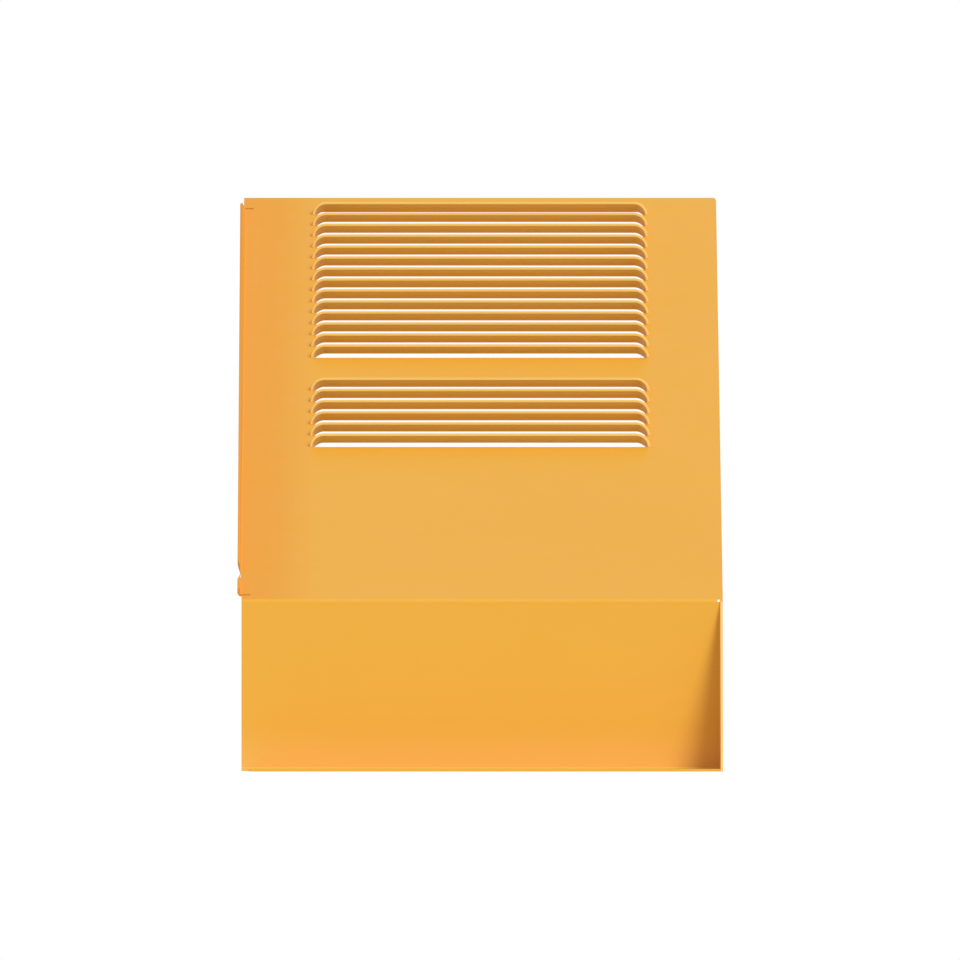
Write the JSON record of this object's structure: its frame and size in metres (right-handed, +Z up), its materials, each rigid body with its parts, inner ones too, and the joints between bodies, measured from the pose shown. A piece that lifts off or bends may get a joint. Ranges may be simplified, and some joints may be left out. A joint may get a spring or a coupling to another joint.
{
  "type": "louvred machine hood",
  "caption": "Rear-hinged louvred machine hood in orange painted sheet steel, with an upright front face, a forward shelf and side wall, hinges, a stored prop rod and a latch striker",
  "frame": {"origin": "the middle of the hinge bolt pattern, on the mounting face of the two fixed hinge leaves", "axes": "+Z up, +Y back into the machine (out of the leaves' mounting face), +X across the hood"},
  "size_m": [0.49, 1.2212, 0.5822],
  "materials": {
    "hood_paint": "satin-gloss yellow-orange powder coat on bent sheet steel",
    "frame_paint": "the same powder coat, thinner and duller on the welded inner pieces",
    "plated_steel": "zinc-plated hinge steel with rolling marks",
    "zinc_steel": "bright zinc-plated fasteners and bar",
    "spring_steel": "dark oiled spring steel",
    "rubber": "matt black rubber",
    "nylon": "natural nylon"
  },
  "bodies": {
    "hinge_base": {"hinge_fixed_leaf_left": "plated_steel", "hinge_fixed_leaf_right": "plated_steel", "hinge_pin_left": "plated_steel", "hinge_pin_right": "plated_steel"},
    "hood": {"clip_rivet": "zinc_steel", "cross_stiffener": "frame_paint", "hinge_bolts": "zinc_steel", "hinge_moving_leaf_left": "plated_steel", "hinge_moving_leaf_right": "plated_steel", "hinge_washers": "zinc_steel", "hinge_weld_nuts": "zinc_steel", "hood_skin": "hood_paint", "prop_bracket": "frame_paint", "prop_bush": "nylon", "prop_clip": "spring_steel", "rest_bracket_left": "frame_paint", "rest_bracket_right": "frame_paint", "rest_nuts": "zinc_steel", "rest_studs": "zinc_steel", "rubber_rest_left": "rubber", "rubber_rest_right": "rubber", "side_rail_left": "frame_paint", "side_rail_right": "frame_paint", "side_seal_left": "rubber", "side_seal_right": "rubber", "striker_bracket": "frame_paint", "striker_loop": "zinc_steel", "striker_nuts": "zinc_steel", "striker_washers": "zinc_steel"},
    "prop": {"prop_rod": "zinc_steel", "prop_retaining_ring": "zinc_steel", "prop_grip": "rubber"}
  },
  "joints": [
    {"name": "hood_hinge", "type": "hinge", "parent": "hinge_base", "child": "hood", "pos_m": [0, -0.006, 0.035], "axis": [-1, 0, 0], "range_deg": [0, 70]},
    {"name": "prop_swing", "type": "hinge", "parent": "hood", "child": "prop", "pos_m": [0.192, -0.54586, -0.17054], "axis": [-1, 0, 0], "range_deg": [0, 95]}
  ]
}
